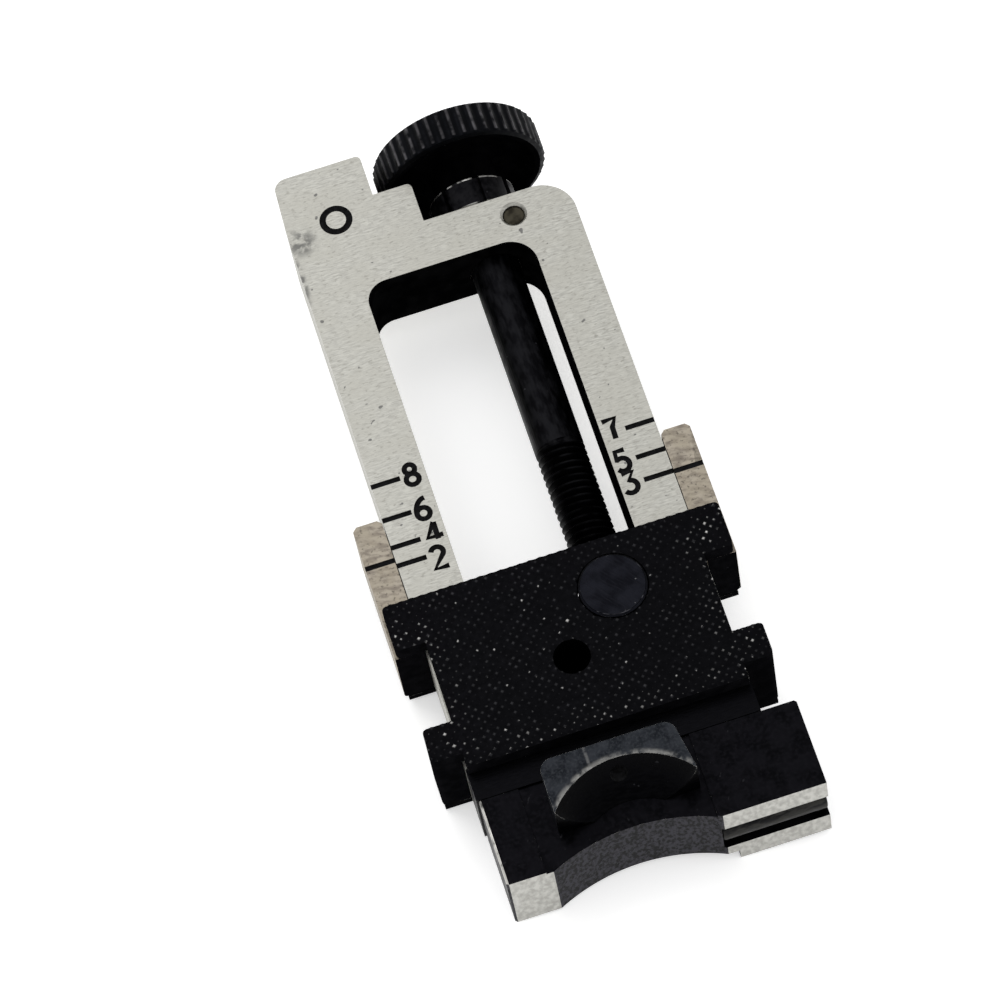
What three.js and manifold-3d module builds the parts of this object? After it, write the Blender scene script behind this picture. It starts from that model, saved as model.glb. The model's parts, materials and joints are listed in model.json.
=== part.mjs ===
// Screw-adjusted leaf peep sight: a slotted steel leaf, a slide that rides on it, and the
// knurled screw that drives the slide. Millimetres.
// The pieces are laid out in the leaf's own frame: X across the leaf, Y along it towards the
// knurled head, Z out of its front face, with Y = 0 at the foot's end face. The whole sight is
// then turned a little, because it lies on three points: two corners of the foot and the head.
import * as THREE from 'three';
import { mergeVertices } from 'three/addons/utils/BufferGeometryUtils.js';
import Module from 'manifold-3d';

const wasm = await Module();
wasm.setup();

// ---- driving dimensions -------------------------------------------------------------------

const FIT = 0.06; // running or assembly gap between two pieces
const ROUND = 40; // sides of a full round hole or pin

const LEAF = { half: 10, rear: -5.8, bottom: 6.52, shoulder: 50.65, earTop: 57.4 };
const EAR = { left: -9.8, right: -3.3, taperFrom: 52.2, corner: 0.95, worn: 0.4 };
const STEP = { right: -0.5, floor: 53.95 };
const TOP_CORNER = 2.6;
const WINDOW = { left: -6.05, right: 6.2, bottom: 8.9, top: 47.0, corner: 1.6, wideCorner: 2.1 };

const FOOT = { left: -9.85, right: 12.45, top: 6.46, rear: -6.3, edge: 0.16 };
const FOOT_ARC = { left: -6.6, right: 5.2, rise: 1.35 };
const FOOT_STEP = { left: 6.0, rear: -7.45 };
const FOOT_FLOOR = { left: -7.1, right: 4.9, depth: 0.2 };
const KEY_GROOVE = { left: 5.0, top: -2.2, bottom: -5.18, depth: 2.95 };
const TONGUE = { half: 6.0, top: 8.1, front: -1.7, rear: -4.3 };
const FOOT_PIN = { offset: 4.2, y: 7.3, radius: 0.5 };

const LUG = { left: -5.45, right: 4.45, front: 3.2, low: 2.5, high: 6.4, corner: 0.9, taper: 0.45 };
const DISH = { top: 5.0, centreZ: 4.3 };
const LUG_HOLE = { z: 1.7, radius: 0.6 };
const TENON = { half: 3.0, depth: 2.6, low: 3.3, high: 5.7 };

const SCREW = { x: 3.36, z: -3.15, radius: 1.76, low: 10.3, high: 56.2 };
const CROSS_PIN = { x: 5.64, y: 48.97, radius: 0.76, countersink: 0.22 };
const WAIST = { radius: 1.42, half: 0.88 };

const HEAD = { radius: 6.13, low: 54.6, high: 57.35, chamfer: 0.25, teeth: 48, groove: 0.24 };
const HEAD_DISH = { rim: 5.35, inner: 2.4, depth: 1.25 };
const CLICK = { radius: 3.15, low: 50.72, high: 53.0, notches: 8, width: 0.42, depth: 0.35 };
const NECK_RADIUS = 2.35;
const HEAD_PIN = { y: 53.75, radius: 0.45 };

const PLATE = { back: FIT, front: 1.36, low: 8.55, high: 21.85, half: 9.88, wide: 12.0 };
const EARS = { low: 18.32 };
const LUGS = { low: 9.6, high: 12.15 };
const CHEEK_INNER = LEAF.half + FIT;
const BOSS = { left: -5.95, right: 0.8, low: 11.8, high: 20.6, back: -5.7 };
const PEEP = { x: -0.84, y: 13.98, radius: 1.28, backRadius: 1.4 };
const NUT = { x: SCREW.x, y: 18.12, radius: 2.4, front: 1.42, back: -5.5 };
const WING = { outer: 12.15, low: 18.36, high: 28.95, rear: -5.82, corner: 0.3 };
const KEEPER = { front: -5.88, rear: -6.42, low: 8.9, high: 21.7, wide: 11.9 };
const KEEPER_HOLE = 2.6;
const KEEPER_SCREW = { x: 11.08, radius: 0.42, head: 0.72, upperY: 20.0, lowerY: 10.88 };

const PLUNGER = { x: SCREW.x - 2.62, radius: 0.44, bore: 0.5, floor: 47.75, low: 49.2, top: 50.69 };
const SPRING = { wire: 0.13, radius: 0.3, turns: 4, low: 47.9, high: 49.05 };

// ---- solids and booleans ------------------------------------------------------------------

function toManifold(geometry) {
  const bare = geometry.clone();
  bare.deleteAttribute('normal');
  bare.deleteAttribute('uv');
  const merged = mergeVertices(bare, 1e-5);
  return new wasm.Manifold(new wasm.Mesh({
    numProp: 3,
    vertProperties: Float32Array.from(merged.attributes.position.array),
    triVerts: Uint32Array.from(merged.index.array),
  }));
}

function toGeometry(manifold) {
  const mesh = manifold.getMesh();
  const geometry = new THREE.BufferGeometry();
  geometry.setAttribute('position', new THREE.BufferAttribute(mesh.vertProperties, 3));
  geometry.setIndex(new THREE.BufferAttribute(mesh.triVerts, 1));
  return geometry;
}

function join(...geometries) {
  return toGeometry(geometries.map(toManifold).reduce((sum, next) => sum.add(next)));
}

function cut(body, ...tools) {
  return toGeometry(tools.map(toManifold).reduce((rest, tool) => rest.subtract(tool), toManifold(body)));
}

// A block between two corners.
function block(x0, x1, y0, y1, z0, z1) {
  const geometry = new THREE.BoxGeometry(x1 - x0, y1 - y0, z1 - z0);
  return geometry.translate((x0 + x1) / 2, (y0 + y1) / 2, (z0 + z1) / 2);
}

// A round bar or hole along one axis, through the point (a, b) of the plane across that axis.
function rodAlongZ(x, y, radius, z0, z1, sides = ROUND) {
  const geometry = new THREE.CylinderGeometry(radius, radius, z1 - z0, sides);
  return geometry.rotateX(Math.PI / 2).translate(x, y, (z0 + z1) / 2);
}

function rodAlongY(x, z, radius, y0, y1, sides = ROUND) {
  const geometry = new THREE.CylinderGeometry(radius, radius, y1 - y0, sides);
  return geometry.translate(x, (y0 + y1) / 2, z);
}

function rodAlongX(y, z, radius, x0, x1, sides = ROUND) {
  const geometry = new THREE.CylinderGeometry(radius, radius, x1 - x0, sides);
  return geometry.rotateZ(Math.PI / 2).translate((x0 + x1) / 2, y, z);
}

// A short cone along Z: radius0 at z0 and radius1 at z1.
function coneAlongZ(x, y, radius0, z0, radius1, z1, sides = ROUND) {
  const geometry = new THREE.CylinderGeometry(radius1, radius0, z1 - z0, sides);
  return geometry.rotateX(Math.PI / 2).translate(x, y, (z0 + z1) / 2);
}

// A body of revolution about the screw's axis, from [radius, y] points.
function turned(profile, sides = ROUND) {
  const points = profile.map(([radius, y]) => new THREE.Vector2(radius, y));
  return new THREE.LatheGeometry(points, sides).translate(SCREW.x, 0, SCREW.z);
}

// An outline seen from the front, as thick as z0 to z1.
function slab(shape, z0, z1, curveSegments = 8) {
  const geometry = new THREE.ExtrudeGeometry(shape, { depth: z1 - z0, bevelEnabled: false, curveSegments });
  return geometry.translate(0, 0, z0);
}

function roundedRectangle(x0, x1, y0, y1, corner, upperRight = corner) {
  const shape = new THREE.Shape();
  shape.moveTo(x0 + corner, y0);
  shape.lineTo(x1 - corner, y0);
  shape.absarc(x1 - corner, y0 + corner, corner, -Math.PI / 2, 0);
  shape.absarc(x1 - upperRight, y1 - upperRight, upperRight, 0, Math.PI / 2);
  shape.absarc(x0 + corner, y1 - corner, corner, Math.PI / 2, Math.PI);
  shape.absarc(x0 + corner, y0 + corner, corner, Math.PI, Math.PI * 1.5);
  return shape;
}

// ---- the leaf -----------------------------------------------------------------------------

function leafOutline() {
  const shape = new THREE.Shape();
  shape.moveTo(-LEAF.half, LEAF.bottom);
  shape.lineTo(LEAF.half, LEAF.bottom);
  shape.absarc(LEAF.half - TOP_CORNER, LEAF.shoulder - TOP_CORNER, TOP_CORNER, 0, Math.PI / 2);
  shape.lineTo(STEP.right, LEAF.shoulder);
  shape.absarc(STEP.right - EAR.worn, STEP.floor - EAR.worn, EAR.worn, 0, Math.PI / 2);
  shape.lineTo(EAR.right, STEP.floor);
  shape.absarc(EAR.right - EAR.worn, LEAF.earTop - EAR.worn, EAR.worn, 0, Math.PI / 2);
  shape.absarc(EAR.left + EAR.corner, LEAF.earTop - EAR.corner, EAR.corner, Math.PI / 2, Math.PI);
  shape.lineTo(-LEAF.half, EAR.taperFrom);
  return shape;
}

function leafFrame() {
  const outline = leafOutline();
  const { left, right, bottom, top, corner, wideCorner } = WINDOW;
  outline.holes.push(roundedRectangle(left, right, bottom, top, corner, wideCorner));
  const overshoot = 1;
  return cut(
    slab(outline, LEAF.rear, 0),
    rodAlongY(SCREW.x, SCREW.z, SCREW.radius + 0.1, WINDOW.top - overshoot, LEAF.shoulder + overshoot),
    rodAlongZ(CROSS_PIN.x, CROSS_PIN.y, CROSS_PIN.radius + 0.03, LEAF.rear - overshoot, overshoot, 24),
    coneAlongZ(
      CROSS_PIN.x, CROSS_PIN.y, CROSS_PIN.radius, -CROSS_PIN.countersink,
      CROSS_PIN.radius + CROSS_PIN.countersink, 0.01, 24,
    ),
    rodAlongY(PLUNGER.x, SCREW.z, PLUNGER.bore, PLUNGER.floor, LEAF.shoulder + overshoot, 16),
    block(
      -TONGUE.half - FIT, TONGUE.half + FIT, LEAF.bottom - overshoot, TONGUE.top + FIT,
      TONGUE.rear - FIT, TONGUE.front + FIT,
    ),
    ...[-1, 1].map((side) => rodAlongZ(
      side * FOOT_PIN.offset, FOOT_PIN.y, FOOT_PIN.radius + 0.03, LEAF.rear - overshoot, TONGUE.rear, 24,
    )),
  );
}

function crossPin() {
  return rodAlongZ(CROSS_PIN.x, CROSS_PIN.y, CROSS_PIN.radius, LEAF.rear + 0.1, -0.25, 24);
}

// ---- the foot -----------------------------------------------------------------------------

function footOutline() {
  const halfChord = (FOOT_ARC.right - FOOT_ARC.left) / 2;
  const arcX = (FOOT_ARC.right + FOOT_ARC.left) / 2;
  const arcRadius = (halfChord ** 2 + FOOT_ARC.rise ** 2) / (2 * FOOT_ARC.rise);
  const arcY = FOOT_ARC.rise - arcRadius;
  const swing = Math.asin(halfChord / arcRadius);
  const shape = new THREE.Shape();
  shape.moveTo(FOOT.left, FOOT.edge);
  shape.lineTo(FOOT.left + FOOT.edge, 0);
  shape.absarc(arcX, arcY, arcRadius, Math.PI / 2 + swing, Math.PI / 2 - swing, true);
  shape.lineTo(FOOT.right, 0);
  shape.lineTo(FOOT.right, FOOT.top - FOOT.edge);
  shape.lineTo(FOOT.right - FOOT.edge, FOOT.top);
  shape.lineTo(FOOT.left, FOOT.top);
  return shape;
}

function footBlock() {
  const overshoot = 1;
  const body = join(
    slab(footOutline(), FOOT.rear, 0, 16),
    block(FOOT_STEP.left, FOOT.right, 0, FOOT.top, FOOT_STEP.rear, FOOT.rear + 0.5),
    block(-TONGUE.half, TONGUE.half, FOOT.top - 0.5, TONGUE.top, TONGUE.rear, TONGUE.front),
  );
  const middle = (LUG.left + LUG.right) / 2;
  return cut(
    body,
    block(
      FOOT_FLOOR.left, FOOT_FLOOR.right, -overshoot, FOOT.top + overshoot,
      -FOOT_FLOOR.depth, overshoot,
    ),
    block(
      KEY_GROOVE.left, FOOT.right + overshoot, -overshoot, KEY_GROOVE.depth,
      KEY_GROOVE.bottom, KEY_GROOVE.top,
    ),
    block(
      middle - TENON.half - FIT, middle + TENON.half + FIT, TENON.low - FIT, TENON.high + FIT,
      -TENON.depth - FIT, overshoot,
    ),
    ...[-1, 1].map((side) => rodAlongZ(
      side * FOOT_PIN.offset, FOOT_PIN.y, FOOT_PIN.radius + 0.03, TONGUE.rear - overshoot, TONGUE.front - 0.7, 24,
    )),
  );
}

// The round bar that lies in the groove of the foot's end face.
function footKey() {
  const radius = (KEY_GROOVE.top - KEY_GROOVE.bottom) / 2 - FIT;
  const z = (KEY_GROOVE.top + KEY_GROOVE.bottom) / 2;
  return rodAlongX(KEY_GROOVE.depth - FIT - radius, z, radius, KEY_GROOVE.left + FIT, FOOT.right - 0.05, 32);
}

function footPin(side) {
  return rodAlongZ(side * FOOT_PIN.offset, FOOT_PIN.y, FOOT_PIN.radius, LEAF.rear + 0.08, TONGUE.front - 0.8, 24);
}

// The fixed short-range aperture: a lug with a spherical dish in its end face and a small hole.
function fixedAperture() {
  const middle = (LUG.left + LUG.right) / 2;
  const halfChord = (LUG.right - LUG.left) / 2;
  const rise = DISH.top - LUG.low;
  const topRadius = (halfChord ** 2 + rise ** 2) / (2 * rise);
  const dishRadius = Math.hypot(topRadius, DISH.centreZ - LUG.front);
  const dish = new THREE.SphereGeometry(dishRadius, 48, 32);
  dish.translate(middle, DISH.top - topRadius, DISH.centreZ);
  const outline = new THREE.Shape();
  outline.moveTo(LUG.left, LUG.low);
  outline.lineTo(LUG.right, LUG.low);
  outline.absarc(LUG.right - LUG.taper - LUG.corner, LUG.high - LUG.corner, LUG.corner, 0, Math.PI / 2);
  outline.absarc(LUG.left + LUG.corner, LUG.high - LUG.corner, LUG.corner, Math.PI / 2, Math.PI);
  const seat = -FOOT_FLOOR.depth + FIT;
  return cut(
    join(
      slab(outline, seat, LUG.front),
      block(middle - TENON.half, middle + TENON.half, TENON.low, TENON.high, -TENON.depth, seat + 0.5),
    ),
    dish,
    rodAlongY(middle, LUG_HOLE.z, LUG_HOLE.radius, LUG.low - 1, LUG.high + 1, 24),
  );
}

// ---- the elevation screw and its head -----------------------------------------------------

function elevationScrew() {
  const { radius, low, high } = SCREW;
  const edge = 0.35;
  const shank = turned([
    [0, low], [radius - edge, low], [radius, low + edge],
    [radius, CROSS_PIN.y - WAIST.half], [WAIST.radius, CROSS_PIN.y - WAIST.half],
    [WAIST.radius, CROSS_PIN.y + WAIST.half], [radius, CROSS_PIN.y + WAIST.half],
    [radius, high], [0, high],
  ]);
  return cut(shank, rodAlongX(HEAD_PIN.y, SCREW.z, HEAD_PIN.radius + 0.03, SCREW.x - 3, SCREW.x + 3, 20));
}

// One straight-knurled disc: a toothed outline seen along the screw.
function knurledDisc(y0, y1, tipRadius) {
  const shape = new THREE.Shape();
  const rootRadius = tipRadius - HEAD.groove;
  const pitch = (2 * Math.PI) / HEAD.teeth;
  const corners = [[-0.32, rootRadius], [-0.12, tipRadius], [0.12, tipRadius], [0.32, rootRadius]];
  for (let tooth = 0; tooth < HEAD.teeth; tooth += 1) {
    for (const [share, radius] of corners) {
      const angle = (tooth + share) * pitch;
      const point = [radius * Math.cos(angle), radius * Math.sin(angle)];
      if (tooth === 0 && share === corners[0][0]) shape.moveTo(...point);
      else shape.lineTo(...point);
    }
  }
  const geometry = new THREE.ExtrudeGeometry(shape, { depth: y1 - y0, bevelEnabled: false });
  return geometry.rotateX(-Math.PI / 2).translate(SCREW.x, y0, SCREW.z);
}

function knurledHead() {
  const { radius, low, high, chamfer } = HEAD;
  const bore = SCREW.radius + FIT;
  const envelope = turned([
    [0, low], [radius - chamfer * 1.6, low], [radius + 0.02, low + chamfer],
    [radius + 0.02, high - chamfer], [radius - chamfer * 1.6, high], [0, high],
  ], 96);
  const rim = toGeometry(toManifold(knurledDisc(low - 0.1, high + 0.1, radius)).intersect(toManifold(envelope)));
  const dish = turned([
    [0, low - 0.5], [HEAD_DISH.rim + 0.1, low - 0.5], [HEAD_DISH.rim, low],
    [HEAD_DISH.rim - 0.5, low + HEAD_DISH.depth], [0, low + HEAD_DISH.depth],
  ], 64);
  const hub = turned([
    [0, CLICK.low], [CLICK.radius - 0.2, CLICK.low], [CLICK.radius, CLICK.low + 0.2],
    [CLICK.radius, CLICK.high - 0.15], [CLICK.radius - 0.15, CLICK.high],
    [NECK_RADIUS, CLICK.high], [NECK_RADIUS, low + HEAD_DISH.depth + 0.5], [0, low + HEAD_DISH.depth + 0.5],
  ], 48);
  const notches = [];
  for (let index = 0; index < CLICK.notches; index += 1) {
    const notch = block(CLICK.radius - CLICK.depth, CLICK.radius + 1, CLICK.low - 1, CLICK.high + 1,
      -CLICK.width / 2, CLICK.width / 2);
    notch.rotateY((index + 0.25) * 2 * Math.PI / CLICK.notches).translate(SCREW.x, 0, SCREW.z);
    notches.push(notch);
  }
  return cut(
    join(cut(rim, dish), hub),
    rodAlongY(SCREW.x, SCREW.z, bore, CLICK.low - 1, SCREW.high + FIT),
    rodAlongX(HEAD_PIN.y, SCREW.z, HEAD_PIN.radius + 0.03, SCREW.x - 3, SCREW.x + 3, 20),
    ...notches,
  );
}

function headPin() {
  const reach = NECK_RADIUS - 0.1;
  return rodAlongX(HEAD_PIN.y, SCREW.z, HEAD_PIN.radius, SCREW.x - reach, SCREW.x + reach, 20);
}

// ---- the click detent in the leaf's top bar -----------------------------------------------

function detentPlunger() {
  const tip = 0.25;
  const points = [
    [0, PLUNGER.low], [PLUNGER.radius, PLUNGER.low], [PLUNGER.radius, PLUNGER.top - tip],
    [PLUNGER.radius - tip, PLUNGER.top], [0, PLUNGER.top],
  ].map(([radius, y]) => new THREE.Vector2(radius, y));
  return new THREE.LatheGeometry(points, 16).translate(PLUNGER.x, 0, SCREW.z);
}

class Helix extends THREE.Curve {
  getPoint(t, target = new THREE.Vector3()) {
    const angle = t * SPRING.turns * 2 * Math.PI;
    return target.set(
      PLUNGER.x + SPRING.radius * Math.cos(angle),
      THREE.MathUtils.lerp(SPRING.low, SPRING.high, t),
      SCREW.z + SPRING.radius * Math.sin(angle),
    );
  }
}

function detentSpring() {
  const wire = new THREE.Shape();
  wire.absarc(0, 0, SPRING.wire / 2, 0, 2 * Math.PI);
  return new THREE.ExtrudeGeometry(wire, {
    steps: SPRING.turns * 14, extrudePath: new Helix(), curveSegments: 6, bevelEnabled: false,
  });
}

// ---- the slide ----------------------------------------------------------------------------

// The plate and the keeper share an outline: wide ears at the top, wide lugs near the foot, and
// narrow between them, so that the leaf's edge shows there.
function waistedOutline(low, high, wide) {
  const right = [
    [PLATE.half, low], [PLATE.half, LUGS.low], [wide, LUGS.low], [wide, LUGS.high],
    [PLATE.half, LUGS.high], [PLATE.half, EARS.low], [wide, EARS.low], [wide, high],
  ];
  const left = right.map(([x, y]) => [-x, y]).reverse();
  return new THREE.Shape([...right, ...left].map(([x, y]) => new THREE.Vector2(x, y)));
}

function slidePlate() {
  const cheeks = [-1, 1].map((side) => block(
    Math.min(side * CHEEK_INNER, side * PLATE.wide), Math.max(side * CHEEK_INNER, side * PLATE.wide),
    LUGS.low, LUGS.high, KEEPER.front + FIT, PLATE.front - 0.4,
  ));
  const body = join(
    slab(waistedOutline(PLATE.low, PLATE.high, PLATE.wide), PLATE.back, PLATE.front),
    block(BOSS.left, BOSS.right, BOSS.low, BOSS.high, BOSS.back, PLATE.front - 0.4),
    ...cheeks,
  );
  return cut(
    body,
    rodAlongZ(PEEP.x, PEEP.y, PEEP.radius, -0.3, PLATE.front + 1),
    coneAlongZ(PEEP.x, PEEP.y, PEEP.backRadius, BOSS.back - 0.1, PEEP.radius, -0.2),
    rodAlongZ(NUT.x, NUT.y, NUT.radius + FIT, BOSS.back - 1, PLATE.front + 1),
    ...keeperScrewPlaces().map(({ x, y, tip }) => rodAlongZ(x, y, KEEPER_SCREW.radius + FIT, KEEPER.rear, tip + FIT, 20)),
  );
}

function indexWing(side) {
  const inner = CHEEK_INNER;
  const { outer, low, high, corner, rear } = WING;
  const shape = new THREE.Shape();
  shape.moveTo(side * inner, low);
  shape.lineTo(side * outer, low);
  shape.lineTo(side * outer, high - corner);
  shape.lineTo(side * (outer - corner), high);
  shape.lineTo(side * (inner + corner), high);
  shape.lineTo(side * inner, high - corner);
  return cut(
    slab(shape, rear, 0),
    rodAlongZ(side * KEEPER_SCREW.x, KEEPER_SCREW.upperY, KEEPER_SCREW.radius + FIT, rear - 1, 1, 20),
  );
}

// The barrel nut stands across the plate, and the screw runs through it.
function barrelNut() {
  return cut(
    join(
      rodAlongZ(NUT.x, NUT.y, NUT.radius, NUT.back, NUT.front - 0.15),
      coneAlongZ(NUT.x, NUT.y, NUT.radius, NUT.front - 0.15, NUT.radius - 0.15, NUT.front),
    ),
    rodAlongY(SCREW.x, SCREW.z, SCREW.radius + 0.07, NUT.y - 4, NUT.y + 4),
  );
}

function rearKeeper() {
  const { wide, low, high, front, rear } = KEEPER;
  return cut(
    slab(waistedOutline(low, high, wide), rear, front),
    rodAlongZ(PEEP.x, PEEP.y, KEEPER_HOLE, rear - 1, front + 1),
    ...keeperScrewPlaces().map(({ x, y }) => coneAlongZ(
      x, y, KEEPER_SCREW.head + 0.2, rear - 0.1, KEEPER_SCREW.radius + FIT, front + 0.01, 20,
    )),
  );
}

// Two screws on each side: the upper pair goes through a wing into an ear, the lower into a lug.
function keeperScrewPlaces() {
  return [-1, 1].flatMap((side) => [
    { x: side * KEEPER_SCREW.x, y: KEEPER_SCREW.upperY, tip: PLATE.front - 0.45 },
    { x: side * KEEPER_SCREW.x, y: KEEPER_SCREW.lowerY, tip: -1.0 },
  ]);
}

function keeperScrew({ x, y, tip }) {
  const { radius, head } = KEEPER_SCREW;
  const rear = KEEPER.rear + 0.04;
  return join(
    coneAlongZ(x, y, head, rear, radius, KEEPER.front - 0.05, 20),
    rodAlongZ(x, y, radius, KEEPER.front - 0.1, tip, 20),
  );
}

// ---- materials and assembly ---------------------------------------------------------------

const finishes = {
  bareSteel: { color: 0xb9b6ae, roughness: 0.42, metalness: 0.9 },
  blued: { color: 0x1a191d, roughness: 0.5, metalness: 0.7 },
  wornBlue: { color: 0x3c4048, roughness: 0.45, metalness: 0.8 },
  patina: { color: 0x4c463f, roughness: 0.6, metalness: 0.6 },
  brownSteel: { color: 0x5a4d42, roughness: 0.55, metalness: 0.7 },
  greySteel: { color: 0x55534f, roughness: 0.65, metalness: 0.7 },
  springSteel: { color: 0x8a8c90, roughness: 0.35, metalness: 0.9 },
};

function piece(name, geometry, finish) {
  const mesh = new THREE.Mesh(geometry, new THREE.MeshStandardMaterial(finishes[finish]));
  mesh.name = name;
  return mesh;
}

const sight = new THREE.Group();
sight.add(
  piece('leaf_frame', leafFrame(), 'bareSteel'),
  piece('cross_pin', crossPin(), 'brownSteel'),
  piece('foot_block', footBlock(), 'blued'),
  piece('foot_key', footKey(), 'greySteel'),
  piece('foot_pin_left', footPin(-1), 'greySteel'),
  piece('foot_pin_right', footPin(1), 'greySteel'),
  piece('fixed_aperture', fixedAperture(), 'wornBlue'),
  piece('elevation_screw', elevationScrew(), 'blued'),
  piece('knurled_head', knurledHead(), 'blued'),
  piece('head_pin', headPin(), 'greySteel'),
  piece('detent_plunger', detentPlunger(), 'springSteel'),
  piece('detent_spring', detentSpring(), 'springSteel'),
  piece('slide_plate', slidePlate(), 'blued'),
  piece('index_wing_left', indexWing(-1), 'patina'),
  piece('index_wing_right', indexWing(1), 'patina'),
  piece('barrel_nut', barrelNut(), 'blued'),
  piece('rear_keeper', rearKeeper(), 'blued'),
  ...keeperScrewPlaces().map((place, index) => piece(`keeper_screw_${index + 1}`, keeperScrew(place), 'greySteel')),
);

// The three points that the sight lies on: the foot's rear corner at the left, the edge of the
// foot's thicker end at the right, and the knurled rim where its tangent has the same lean.
function restNormal() {
  const left = new THREE.Vector3(FOOT.left, 0, FOOT.rear);
  const right = new THREE.Vector3(FOOT_STEP.left, 0, FOOT_STEP.rear);
  const across = right.clone().sub(left).normalize();
  const down = new THREE.Vector3(across.z, 0, -across.x).multiplyScalar(HEAD.radius);
  const rim = new THREE.Vector3(SCREW.x, HEAD.low + HEAD.chamfer, SCREW.z).add(down);
  return across.cross(rim.sub(left)).normalize();
}

sight.quaternion.setFromUnitVectors(restNormal(), new THREE.Vector3(0, 0, 1));
sight.updateMatrixWorld(true);
const box = new THREE.Box3().setFromObject(sight, true);
sight.position.set(-(box.min.x + box.max.x) / 2, -(box.min.y + box.max.y) / 2, -box.min.z);

export default sight;
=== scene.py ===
"""Looks for a screw-adjusted leaf peep sight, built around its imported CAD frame.

Pieces are shaped in the leaf's own millimetres: X across the leaf, Y along it towards the knurled
head, Z out of its front face, Y = 0 at the foot's end face. One matrix lays them into the frame.
"""
import json
import math
import random

import bmesh
import bpy
from mathutils import Matrix, Vector


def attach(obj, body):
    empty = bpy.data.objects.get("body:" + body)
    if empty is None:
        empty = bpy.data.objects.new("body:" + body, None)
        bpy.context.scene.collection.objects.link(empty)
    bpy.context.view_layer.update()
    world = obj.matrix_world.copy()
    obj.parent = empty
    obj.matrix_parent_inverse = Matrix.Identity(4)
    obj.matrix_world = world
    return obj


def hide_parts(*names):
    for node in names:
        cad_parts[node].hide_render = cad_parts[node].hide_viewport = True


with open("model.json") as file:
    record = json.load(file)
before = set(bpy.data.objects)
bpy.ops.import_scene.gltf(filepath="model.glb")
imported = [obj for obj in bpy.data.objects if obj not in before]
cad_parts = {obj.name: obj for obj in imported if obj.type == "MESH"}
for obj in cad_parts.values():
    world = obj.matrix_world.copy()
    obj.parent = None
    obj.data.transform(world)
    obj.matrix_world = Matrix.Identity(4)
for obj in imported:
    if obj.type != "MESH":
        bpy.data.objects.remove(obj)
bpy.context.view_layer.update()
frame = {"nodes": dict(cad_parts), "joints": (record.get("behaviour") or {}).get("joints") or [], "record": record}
scene = bpy.context.scene
record = frame["record"]

# ---- the leaf's place in the frame ----------------------------------------------------------

MM = 0.001
HINGE_IN_LEAF = Vector((3.36, 30.0, -3.15))  # the point that the screw's joint is stated at

hinge = next(j for j in frame["joints"] if j["name"] == "elevation_screw_turn")
front = next(m for m in record["mounts"] if m["name"] == "foot_front")
leaf_y = Vector(hinge["axis"]).normalized()
leaf_x = leaf_y.cross(Vector(front["axis"])).normalized()
leaf_z = leaf_x.cross(leaf_y)
LEAF_TURN = Matrix((leaf_x, leaf_y, leaf_z)).transposed()
LEAF_ORIGIN = Vector(hinge["pos_m"]) - LEAF_TURN @ (HINGE_IN_LEAF * MM)
LEAF = Matrix.Translation(LEAF_ORIGIN) @ LEAF_TURN.to_4x4() @ Matrix.Scale(MM, 4)
TO_LEAF = LEAF.inverted()

BODY = {node: body for body, nodes in record["behaviour"]["bodies"].items() for node in nodes}

# ---- sizes, in leaf millimetres ---------------------------------------------------------------

WELD = 0.002  # corners nearer than this are joined
FLAT = math.radians(0.9)  # faces that meet at less than this are made one
SHARP = math.radians(28)  # outer edges that turn more than this are softened
SMOOTH = math.radians(26)  # edges that turn less than this are shaded smooth
BROAD = 3.0  # faces of more square millimetres than this are shaded flat

WINDOW = {"left": -6.05, "right": 6.2, "bottom": 8.9, "top": 47.0}
PAINTED_SHADE_BELOW_Y = 9.0  # the leaf is bare steel above this line; below it the leaf is painted black, a painted shade under the plate's lower edge
SCREW = {"x": 3.36, "z": -3.15, "radius": 1.75, "low": 10.3, "high": 56.2}
THREAD = {"pitch": 0.55, "depth": 0.3, "top": 31.6, "fade": 0.7, "rows": 8}
WAIST = {"low": 48.09, "high": 49.85, "radius": 1.42}
HEAD = {"radius": 6.12, "low": 54.6, "high": 57.34, "chamfer": 0.28, "teeth": 48, "groove": 0.16}
DISH = {"rim": 5.35, "floor": 4.85, "depth": 1.25}
CLICK = {"radius": 3.14, "low": 50.72, "high": 52.99, "notches": 8, "width": 0.42, "depth": 0.35}
CLICK_EDGE = 0.12
HIGHLIGHT_BAND = 0.11  # height of the band of painted highlight under the click hub's upper edge
NECK_RADIUS = 2.35
HEAD_PIN = {"y": 53.75, "radius": 0.48}
KNURLED_FROM = 5.72  # the head's faces further from its axis than this belong to the knurl
END_RECESS = {"rim": 5.0, "floor": 4.85, "depth": 0.12}
END_DIMPLE = {"rim": 1.3, "floor": 1.1, "depth": 0.3, "point": 0.34}
CHECKERING = {"pitch": 0.5, "valley": 1.21, "tip": 1.35, "jitter": 0.06, "worn": 0.06}
LUG_HOLE = {"x": -0.5, "z": 1.7, "radius": 0.6}
PEEP = {"x": -0.84, "y": 13.98, "radius": 1.4}
PLATE_CORNERS = 11.5  # further out, the plate's upright and the wings' rear edges are well rounded
LEFT_FRONT = {"x": -9.75, "z": -0.1}  # the left front edge of leaf and foot is left of x, above z
ROUNDED = {"leaf": 0.24, "foot": 0.2, "plate": 0.34, "wing": 0.4, "keeper": 0.26}
LUG_DISH_BALL = {"centre": (-0.5, -1.15, 4.3), "radius": 6.248}
WING_LINE = {"y": 25.65, "inner": 9.8, "outer": 12.6}
GROOVE = {"radius": 0.21, "lift": 0.04}  # a stamped line is a shallow round groove
DIGIT = {"wide": 0.9, "tall": 0.86}

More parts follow.
